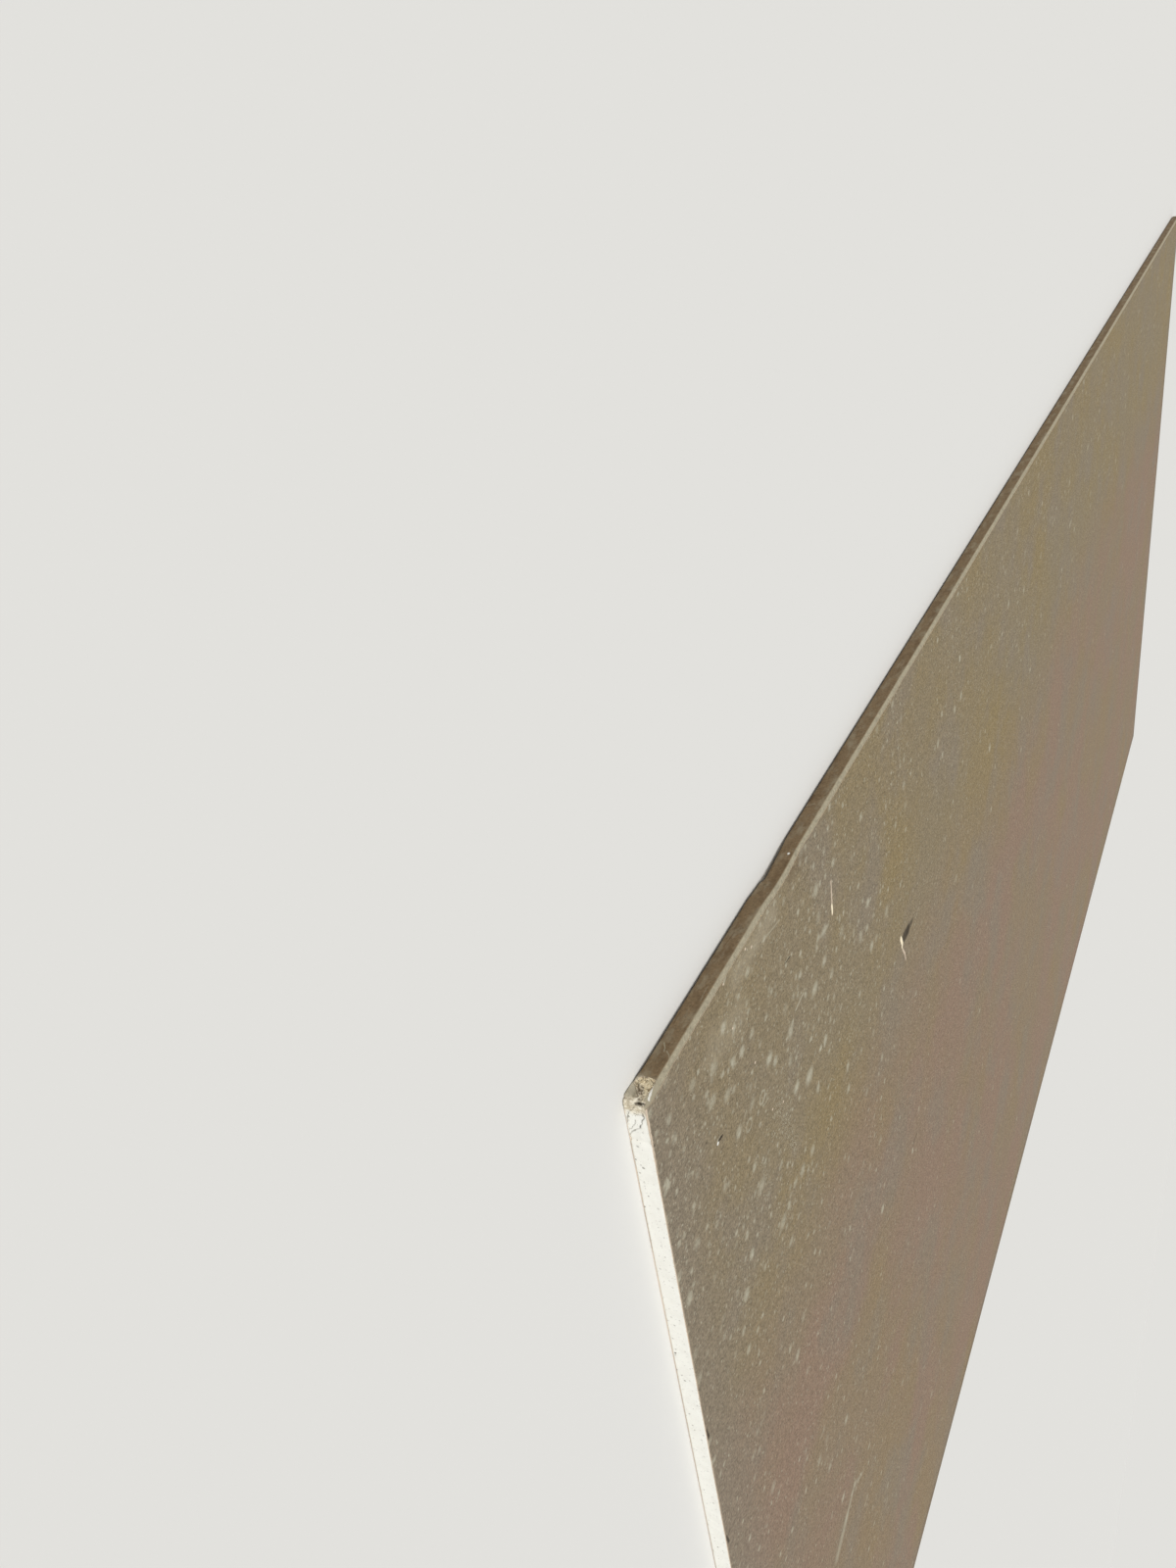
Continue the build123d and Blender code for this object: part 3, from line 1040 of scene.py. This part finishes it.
def start_material(name, roughness, specular):
    """A material with one Principled shader, and its node tree."""
    material = bpy.data.materials.new(name)
    material.use_nodes = True
    shader = material.node_tree.nodes["Principled BSDF"]
    shader.inputs["Roughness"].default_value = roughness
    shader.inputs["Specular IOR Level"].default_value = specular
    return material, material.node_tree


def finished(material, colour, height, distance, strength=1.0):
    """The material with its colour, and with relief from a height, as high as distance."""
    tree = material.node_tree
    relief = {"Height": height, "Distance": distance, "Strength": strength}
    shader = tree.nodes["Principled BSDF"].inputs
    tree.links.new(colour.socket, shader["Base Color"])
    normal = add_node(tree, "ShaderNodeBump", 0, relief)
    tree.links.new(normal.socket, shader["Normal"])
    return material


# Marks on the back face, in millimetres from the near end and from the damaged edge
BLOTCHES = (
    # place, diameter, strength
    (72, 45, 12, 0.4), (65, 63, 13, 0.5), (83, 76, 11, 0.5), (123, 66, 9, 0.5),
    (156, 62, 6, 0.5), (143, 104, 12, 0.75), (112, 182, 15, 0.5), (180, 164, 12, 0.8),
    (203, 176, 17, 0.75), (227, 173, 7, 1.0), (243, 190, 7, 0.6), (225, 118, 14, 0.65),
    (246, 111, 11, 0.65), (202, 87, 9, 0.6), (250, 88, 12, 0.5), (137, 245, 14, 0.5),
    (163, 236, 10, 0.5), (146, 276, 10, 0.5),
)
DROP_RINGS = ((105, 122, 11, 0.5), (127, 121, 11, 0.6), (130, 126, 9, 0.5), (109, 157, 9, 0.3))
CRINKLES = (
    # start, end, width, strength
    (149.0, 150.0, 168.0, 206.0, 24.0, 0.75), (118.0, 166.0, 124.0, 196.0, 16.0, 0.4),
)
SCRATCHES = (
    # start, end, width, softness, colour name, strength
    (268.5, 61.5, 267.3, 87.5, 3.4, 0.7, "rim", 0.7),
    (267.4, 80.5, 267.6, 86.5, 4.2, 0.6, "torn", 0.9),
    (150.0, 20.0, 178.0, 25.0, 2.4, 0.9, "fleck", 0.4),
    # A soft dark patch beside the strip at the dish: painted shade where the paper lifts.
    (200.0, 8.0, 222.0, 9.0, 18.0, 1.0, "stain_and_shade", 0.3),
    (190.0, 106.0, 205.0, 104.5, 3.0, 0.8, "fleck", 0.6),
    (236.0, 86.0, 258.0, 90.0, 5.0, 0.9, "fleck", 0.4),
    (65.7, 94.2, 70.8, 95.0, 2.2, 0.4, "shadow", 1.0),
    (64.4, 94.8, 65.0, 94.9, 2.4, 0.3, "plaster", 1.0),
    (51.2, 80.8, 52.4, 80.8, 1.3, 0.6, "shadow", 0.8),
    (181.3, 60.3, 188.8, 61.5, 1.7, 0.6, "shadow", 0.85),
    (180.6, 59.6, 187.8, 60.4, 1.2, 0.7, "fleck", 0.5),
    (444.0, 237.3, 458.6, 238.2, 9.0, 0.8, "shadow", 0.7),
    (434.0, 236.5, 446.0, 238.0, 14.0, 0.5, "shadow", 0.85),
    (424.4, 231.0, 428.5, 239.2, 5.6, 0.45, "torn", 1.0),
    (428.5, 239.2, 427.6, 241.5, 5.2, 0.5, "torn", 1.0),
    (428.9, 245.6, 434.8, 255.3, 3.6, 0.7, "rim", 0.75),
    (434.8, 255.3, 437.3, 263.5, 3.4, 0.8, "rim", 0.6),
    (0.5, 268.5, 2.0, 277.0, 3.2, 0.5, "shadow", 0.9),
    (0.5, 386.0, 3.0, 396.0, 3.2, 0.6, "shadow", 0.8),
    (1.5, 390.0, 7.0, 388.0, 2.0, 0.7, "shadow", 0.5),
    (172.0, 736.0, 200.0, 724.0, 20.0, 0.9, "fleck", 0.45),
    (200.0, 724.0, 226.0, 713.0, 13.0, 0.9, "fleck", 0.45),
    (226.0, 713.0, 248.0, 731.0, 8.0, 0.9, "fleck", 0.35),
    (456.6, 495.8, 444.3, 498.3, 5.0, 0.8, "shadow", 0.5),
    (442.5, 502.9, 441.8, 504.4, 6.0, 0.6, "fleck", 0.9),
    (112.0, 13.0, 168.0, 13.0, 32.0, 1.0, "front", 0.25),
    (76.0, 34.0, 108.0, 40.0, 44.0, 1.0, "front", 0.18),
)
BRIGHT_SPECKS = (
    (127.1, 7.2), (135.4, 12.1), (99.8, 41.4), (95.5, 6.2), (139.6, 143.9), (156.7, 154.4),
    (122.9, 88.5),
)
FLECKS = (
    # cell and radius in metres, share, softness, shift, strength
    (0.021, 0.0064, 0.7, 0.85, (0.0, 0.0, 0.0), 0.85),
    (0.0105, 0.0034, 0.8, 0.85, (3.1, 1.7, 0.0), 0.8),
    (0.0052, 0.0015, 0.5, 0.95, (5.3, 2.9, 0.0), 0.9),
    (0.0024, 0.00055, 0.45, 0.8, (7.3, 4.9, 0.0), 1.1),
)
# The cells of the flecks that gather in clusters are wider than this
CLUSTERED_CELL = 0.008
FELT_RELIEF = 0.1 * MM


def liner_material(colours):
    """Back paper: grey-brown felt in slow warm and cool patches, redder away from the damaged
    edge partly as painted warm shade, with pale soft blotches that lie closer near the crushed
    end, specks of loose fibre, drop rings, and the scratches and slits of handling, with painted
    shadow in the slits, gouges and nicks and painted shade beside the strip at the dish."""
    material, tree = start_material("back_paper_felt", 0.9, 0.2)
    light, mottle, warm, cool, height = felt(tree, 0.34, 1.66)
    plain = object_place(tree)
    from_middle, across, _ = axes(plain)
    by_end = from_middle.ramp(NEAR_END + 0.09, NEAR_END, 0.0, 0.8)
    # Redder in patches away from the damaged edge: partly the paper's tone, partly painted warm
    # shade where the light falls off across the sheet.
    inner = across.ramp(HALF_WIDTH - 0.2, HALF_WIDTH - 0.42)
    ruddy = plain.moved((1, 1, 1), (8.1, 5.3, 0)).noise(4.0, 4.0).ramp(0.42, 0.58)
    colour = blend(warm, colours.liner, colours.liner_warm)
    colour = blend(inner * (ruddy * 0.6 + 0.4), colour, colours.liner_ruddy_shade)
    colour = blend(calc("MAXIMUM", cool * 0.7, by_end), colour, colours.liner_cool)
    colour = shaded(colour, light)

    place = bent(plain, 3.6 * MM)
    near = from_middle.ramp(NEAR_END + 0.55, NEAR_END + 0.1, 0.3, 1.0)
    cluster = plain.noise(14.0, 2.0).ramp(0.36, 0.6, 0.25, 1.0)
    cluster = cluster * across.ramp(HALF_WIDTH - 0.36, HALF_WIDTH - 0.16, 0.4, 1.0)
    crowd = near * cluster
    grain = mottle.ramp(0.3, 0.58, 0.6, 1.0)
    for cell, radius, share, soft, shift, strength in FLECKS:
        gathered = crowd if cell > CLUSTERED_CELL else cluster * 0.5 + 0.5
        flecks = spots(place, cell, radius, gathered * share, soft, shift)
        colour = blend(flecks * grain * strength, colour, colours.fleck)
    for x, y, size, strength in BLOTCHES:
        blotch = mark(place, (x - 0.1 * size, y, x + 0.1 * size, y), size, 0.95)
        colour = blend(blotch * grain * (strength * 1.15), colour, colours.fleck)
    for x, y, size, strength in DROP_RINGS:
        ring = mark(place, (x, y, x + 0.5, y), size, 0.55, "Ring")
        colour = blend(ring * grain * strength, colour, colours.fleck)
    worms = plain.noise(480.0, 1.0)
    for *line, width, strength in CRINKLES:
        crinkled = mark(place, line, width, 1.0)
        for crest, tint in ((0.54, colours.fleck), (0.46, colours.stain_and_shade)):
            near_crest = calc("ABSOLUTE", worms - crest).ramp(0.045, 0.01)
            colour = blend(near_crest * crinkled * strength, colour, tint)
    sharp = bent(plain, 1.8 * MM)
    for *line, width, soft, tint, strength in SCRATCHES:
        scratch = mark(sharp, line, width, soft)
        colour = blend(scratch * strength, colour, getattr(colours, tint))
    for x, y in BRIGHT_SPECKS:
        colour = blend(mark(sharp, (x, y, x + 0.4, y), 2, 0.6), colour, colours.rim)
    x, y, _ = axes(sharp)
    by_edge = y.ramp(HALF_WIDTH - 55 * MM, HALF_WIDTH - 18 * MM, 0.15, 0.9)
    frayed = x.ramp(NEAR_END + 1.5 * MM, NEAR_END + 0.5 * MM) * by_edge
    cut = calc("MAXIMUM", attribute(tree, "skin").ramp(0.97, 0.8), frayed)
    return finished(material, blend(cut, colour, colours.rim), height, FELT_RELIEF, 0.7)


SIDE_SCRATCHES = (
    # start and end from the near end and up from the front, width, colour name, strength
    (32.0, 10.7, 35.5, 8.0, 0.9, "strip", 0.7), (35.0, 6.8, 40.0, 4.3, 1.0, "strip", 0.9),
    (210.2, 8.2, 211.2, 8.4, 1.8, "plaster", 0.9), (74.0, 9.0, 86.0, 8.4, 0.7, "strip", 0.4),
    (118.0, 4.0, 131.0, 5.2, 0.9, "stain_and_shade", 0.5), (54.0, 3.0, 63.0, 2.6, 1.1, "stain_and_shade", 0.5),
    # The row from 6.6 mm is painted shade under the torn tuft, and the last row is painted shade
    # in a dent at the front fold.
    (0.0, 10.2, 11.0, 10.9, 1.4, "torn", 0.6), (6.6, 6.0, 10.2, 3.4, 2.6, "stain_and_shade", 0.5),
    (262.8, 1.6, 266.4, 5.9, 1.3, "strip", 0.6), (268.0, 1.7, 276.0, 2.3, 1.8, "stain_and_shade", 0.7),
)
# A painted highlight along a crumpled ridge of the bevel near the corner: start and end from the
# near end and from the damaged edge.
CORNER_RIDGE_HIGHLIGHT = (5.4, 2.1, 11.8, 0.2)


def wrap_material(colours, edge):
    """Face paper: brown on the side of the edge, and darker there in part as painted shade, pale
    where it is folded onto the back, plain on the front, with the inner plies showing cream in
    its cut rim and where it is torn. Near the crushed corner the side is lightened, partly as
    painted light, and a painted highlight runs along a ridge of the bevel."""
    material, tree = start_material("face_paper_felt", 0.87, 0.22)
    light, mottle, _, _, height = felt(tree, 0.6, 1.4)
    fold = edge.flap_reach - edge.bevel_width + math.hypot(
        edge.bevel_width, edge.bevel_depth - (THICKNESS - FLAP_TOP)
    )
    front_fold = fold + THICKNESS - edge.bevel_depth - edge.taper_depth
    travel = attribute(tree, "round_edge") + (mottle * 0.0012 - 0.0006)
    on_side = travel.ramp(fold - 0.8 * MM, fold + 0.5 * MM)
    on_front = travel.ramp(front_fold - 0.8 * MM, front_fold + 6 * MM)
    # The side of the edge takes the darker colour, which is partly painted shade.
    colour = blend(on_side, colours.strip, colours.side)
    colour = shaded(blend(on_front, colour, colours.front), light)

    place = bent(object_place(tree), 2.0 * MM)
    from_middle, _, up = axes(place)
    # Random patches of rubbed dirt on the side of the edge.
    stain_and_shade = place.moved((1, 0.2, 1.4)).noise(70.0, 4.0, 0.65).ramp(0.46, 0.68)
    colour = blend(stain_and_shade * (on_side * 0.45), colour, colours.stain_and_shade)
    rubbed = place.moved((0.35, 1, 1), (2, 3, 4)).noise(140.0, 4.0, 0.65)
    # Within about 20 mm of the crushed end the side is lightened towards the strip's colour, and
    # low down towards the front's: partly greyer rubbed paper, partly painted light where the
    # crushed surface falls in shade.
    near = from_middle.ramp(NEAR_END + 0.02, NEAR_END + 0.011, 0.0, 0.9)
    pale = calc("MAXIMUM", rubbed.ramp(0.46, 0.7, 0.0, 0.5), near)
    colour = blend(pale, colour, colours.strip)
    rubbed_and_lit_by_fold = near * up.ramp(5.6 * MM, 2.6 * MM)
    colour = blend(rubbed_and_lit_by_fold * on_side, colour, colours.front)
    for *line, width, tint, strength in SIDE_SCRATCHES:
        scratch = mark(place, line, width, 0.7, on_side=True)
        colour = blend(scratch * strength * on_side, colour, getattr(colours, tint))
    # Painted highlight along that ridge, kept to the bevel.
    on_back = travel.ramp(fold + 1.2 * MM, fold + 0.2 * MM)
    ridge_highlight = mark(place, CORNER_RIDGE_HIGHLIGHT, 2.3, 0.7) * (on_back * 0.85)
    colour = blend(ridge_highlight, colour, colours.cloud_and_ridge_highlight)
    inner = calc("MAXIMUM", attribute(tree, "torn"), attribute(tree, "skin").ramp(0.97, 0.8))
    return finished(material, blend(inner, colour, colours.front_rim), height, FELT_RELIEF, 0.7)


PITS = (
    # cell and radius in metres, share, shift, strength
    (0.0135, 0.00095, 0.5, (0.0, 0.0, 0.0), 1.0),
    (0.0062, 0.0009, 0.55, (4.1, 2.2, 0.0), 0.45),
    (0.0026, 0.00034, 0.5, (1.3, 0.4, 0.0), 0.7),
)


def plaster_material(name, colours, crushed=False):
    """Cut plaster: chalk white with faint grey clouds, small dark bubbles, finer specks and
    paper dust smeared along the papers.
    Crushed plaster adds dusty dirt, cream plies of paper on its side, painted shade in its
    cracks, creases and slit, and painted highlights on its folds."""
    material, tree = start_material(name, 0.95, 0.12)
    place = object_place(tree)
    clouds = place.noise(120.0, 4.0).ramp(0.35, 0.75)
    colour = blend(clouds * 0.3, colours.plaster, colours.cloud_and_ridge_highlight)
    _, across, up = axes(bent(place, 0.9 * MM))
    on_end = add_node(tree, "ShaderNodeCombineXYZ", 0, {0: across, 1: up})
    deepest = 0.0
    for cell, radius, share, shift, strength in PITS:
        pits = spots(on_end, cell, radius, share, 0.6, shift) * strength
        colour = blend(pits, colour, colours.pit_and_crack_shade)
        deepest = calc("MAXIMUM", deepest, pits)
    height = place.noise(1500.0, 3.0, 0.7) * 0.35 - deepest
    ragged = place.noise(900.0, 3.0) * 0.9 - 0.45
    smeared = (attribute(tree, "by_paper") + ragged).ramp(0.45, 0.85, 0.0, 0.8)
    colour = blend(smeared, colour, colours.rim)
    if crushed:
        rough = place.noise(420.0, 4.0, 0.7)
        dusty = attribute(tree, "dusty")
        ply = blend(rough.ramp(0.45, 0.7), colours.torn, colours.torn_brown)
        # Dust and cream plies, a painted highlight on the folds, then painted shade in the
        # creases, crevices, cracks and slit.
        for factor, tint in (
            (dusty * 0.55, colours.torn), (dusty * rough.ramp(0.38, 0.6) * 0.7, colours.dust),
            (attribute(tree, "plies"), ply), (attribute(tree, "fold") * 0.75, colours.torn),
            (attribute(tree, "hollow") * 0.8, colours.stain_and_shade),
            (attribute(tree, "crack"), colours.pit_and_crack_shade), (attribute(tree, "slit"), colours.shadow),
        ):
            colour = blend(factor, colour, tint)
    return finished(material, colour, height, 0.3 * MM, 0.7)


def torn_material(colours):
    """Bare inner plies of paper: cream, with brown outer fibres in patches."""
    material, tree = start_material("torn_plies", 0.9, 0.15)
    place = object_place(tree)
    colour = blend(place.noise(500.0, 3.0).ramp(0.4, 0.6), colours.torn, colours.strip)
    return finished(material, colour, place.noise(1800.0, 2.0), 0.08 * MM)


# Operators

class OBJECT_OT_drywall_core(bpy.types.Operator):
    """Build the plaster core with its two cut ends"""

    bl_idname = "object.drywall_core"
    bl_label = "Plaster core"

    def execute(self, context):
        settings = context.scene.drywall
        core = build_core(settings, plaster_material("cut_plaster", settings.colours))
        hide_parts("gypsum_core")
        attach(core, "root")
        return {"FINISHED"}


class OBJECT_OT_drywall_corner(bpy.types.Operator):
    """Build the crushed plaster of the damaged corner"""

    bl_idname = "object.drywall_corner"
    bl_label = "Crushed corner"

    def execute(self, context):
        settings = context.scene.drywall
        material = plaster_material("crushed_plaster", settings.colours, crushed=True)
        corner = build_crushed_corner(settings, material)
        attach(corner, "root")
        return {"FINISHED"}


class OBJECT_OT_drywall_wrap(bpy.types.Operator):
    """Wrap the face paper round both long edges"""

    bl_idname = "object.drywall_wrap"
    bl_label = "Face paper"

    def execute(self, context):
        settings = context.scene.drywall
        wrap = build_wrap(settings, wrap_material(settings.colours, settings.edge))
        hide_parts("face_paper")
        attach(wrap, "root")
        return {"FINISHED"}


class OBJECT_OT_drywall_liner(bpy.types.Operator):
    """Lay the back paper over the folded flaps"""

    bl_idname = "object.drywall_liner"
    bl_label = "Back paper"

    def execute(self, context):
        settings = context.scene.drywall
        liner = build_liner(settings, liner_material(settings.colours))
        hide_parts("back_paper")
        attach(liner, "root")
        return {"FINISHED"}


class OBJECT_OT_drywall_torn(bpy.types.Operator):
    """Fray the paper at the crushed corner and along the cut ends"""

    bl_idname = "object.drywall_torn"
    bl_label = "Torn paper"

    def execute(self, context):
        settings = context.scene.drywall
        material = torn_material(settings.colours)
        for piece in (build_torn_flaps(settings, material), build_fuzz(settings, material)):
            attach(piece, "root")
        return {"FINISHED"}


# Together the two lights give a level face the irradiance of a white one: sky + lamp / pi = 1
SKY_LIGHT = 0.45
TO_LAMP = (-0.48, 0.18, 0.86)
LAMP_LIGHT = (1 - SKY_LIGHT) * math.pi / TO_LAMP[2]
LAMP_ANGLE = math.radians(35)
FLOOR_REACH = 40.0
FLOOR_DEPTH = 0.02


def build_floor(colour):
    """A plain pale slab under the sheet."""
    square = np.array(((-1, -1), (1, -1), (1, 1), (-1, 1))) * FLOOR_REACH
    points = np.array([(x, y, z) for z in (0, -FLOOR_DEPTH) for x, y in square])
    faces = np.array(
        [(0, 1, 2, 3), (7, 6, 5, 4), (0, 4, 5, 1), (1, 5, 6, 2), (2, 6, 7, 3), (3, 7, 4, 0)]
    )
    material, tree = start_material("pale_floor", 0.9, 0.1)
    tree.nodes["Principled BSDF"].inputs["Base Color"].default_value = (*colour, 1.0)
    return mesh_object("floor", points, faces, material, smooth_faces=False)


def light_stage(scene, colour):
    """Even light from all round, behind which the camera sees a plain colour, and one wide
    lamp."""
    world = bpy.data.worlds.new("pale_studio")
    scene.world = world
    world.use_nodes = True
    tree = world.node_tree
    lighting = tree.nodes["Background"]
    lighting.inputs["Color"].default_value = (1.0, 1.0, 1.0, 1.0)
    lighting.inputs["Strength"].default_value = SKY_LIGHT
    seen = add_node(tree, "ShaderNodeBackground", 0, {"Color": (*colour, 1.0)})
    rays = ("Is Camera Ray", "Is Glossy Ray", "Is Transmission Ray")
    straight, glossy, through = add_node(tree, "ShaderNodeLightPath", rays)
    looked_at = calc("MAXIMUM", calc("MAXIMUM", straight, glossy), through)
    mixed = add_node(
        tree, "ShaderNodeMixShader", 0, {0: looked_at, 1: Value(lighting.outputs[0]), 2: seen}
    )
    tree.links.new(mixed.socket, tree.nodes["World Output"].inputs["Surface"])
    data = bpy.data.lights.new("wide_lamp", "SUN")
    data.energy = LAMP_LIGHT
    data.angle = LAMP_ANGLE
    towards = Vector(TO_LAMP).to_track_quat("Z", "Y")
    added("wide_lamp", data).rotation_euler = towards.to_euler()


def place_camera(scene, settings):
    """The camera, from its place beside the crushed corner and the three angles of its view."""
    data = bpy.data.cameras.new("photo_camera")
    data.sensor_width = 36.0
    data.lens = settings.lens
    data.clip_start, data.clip_end = 0.01, 100.0
    camera = added("photo_camera", data)
    level = math.cos(settings.tilt)
    ahead = Vector((
        level * math.cos(settings.heading), level * math.sin(settings.heading),
        math.sin(settings.tilt),
    ))
    level_right = ahead.cross(Vector((0, 0, 1))).normalized()
    level_up = level_right.cross(ahead)
    right = level_right * math.cos(settings.roll) + level_up * math.sin(settings.roll)
    turn = Matrix((right, right.cross(ahead), -ahead)).transposed()
    place = Vector((
        NEAR_END - settings.before_end, HALF_WIDTH + settings.beyond_edge,
        THICKNESS + settings.above_back,
    ))
    camera.matrix_world = Matrix.Translation(place) @ turn.to_4x4()
    scene.camera = camera


class OBJECT_OT_drywall_stage(bpy.types.Operator):
    """Set the pale floor, the soft lamps and the camera"""

    bl_idname = "object.drywall_stage"
    bl_label = "Stage"

    def execute(self, context):
        scene = context.scene
        settings = scene.drywall.stage
        floor = build_floor(settings.floor)
        light_stage(scene, settings.floor)
        place_camera(scene, settings)
        scene.view_settings.view_transform = "Standard"
        return {"FINISHED"}


PIECES = (
    OBJECT_OT_drywall_core, OBJECT_OT_drywall_corner, OBJECT_OT_drywall_wrap,
    OBJECT_OT_drywall_liner, OBJECT_OT_drywall_torn, OBJECT_OT_drywall_stage,
)


class VIEW3D_PT_drywall(bpy.types.Panel):
    """Settings and steps of the drywall sheet"""

    bl_idname = "VIEW3D_PT_drywall"
    bl_label = "Drywall sheet"
    bl_space_type = "VIEW_3D"
    bl_region_type = "UI"
    bl_category = "Drywall"

    def draw(self, context):
        settings = context.scene.drywall
        for group in (settings.edge, settings.damage, settings.colours, settings.stage):
            box = self.layout.box()
            for name in group.__annotations__:
                box.prop(group, name)
        for operator in PIECES:
            self.layout.operator(operator.bl_idname)


CLASSES = (
    DrywallEdge, DrywallDamage, DrywallColours, DrywallStage, DrywallSettings, *PIECES,
    VIEW3D_PT_drywall,
)


def register():
    for made in CLASSES:
        bpy.utils.register_class(made)
    bpy.types.Scene.drywall = grouped(
        DrywallSettings, "Drywall sheet", "Settings of the drywall sheet"
    )


def unregister():
    del bpy.types.Scene.drywall
    for made in reversed(CLASSES):
        bpy.utils.unregister_class(made)


def main():
    """Registers the add-on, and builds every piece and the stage."""
    register()
    bpy.ops.object.drywall_core()
    bpy.ops.object.drywall_corner()
    bpy.ops.object.drywall_wrap()
    bpy.ops.object.drywall_liner()
    bpy.ops.object.drywall_torn()
    bpy.ops.object.drywall_stage()


if __name__ == "__main__":
    main()
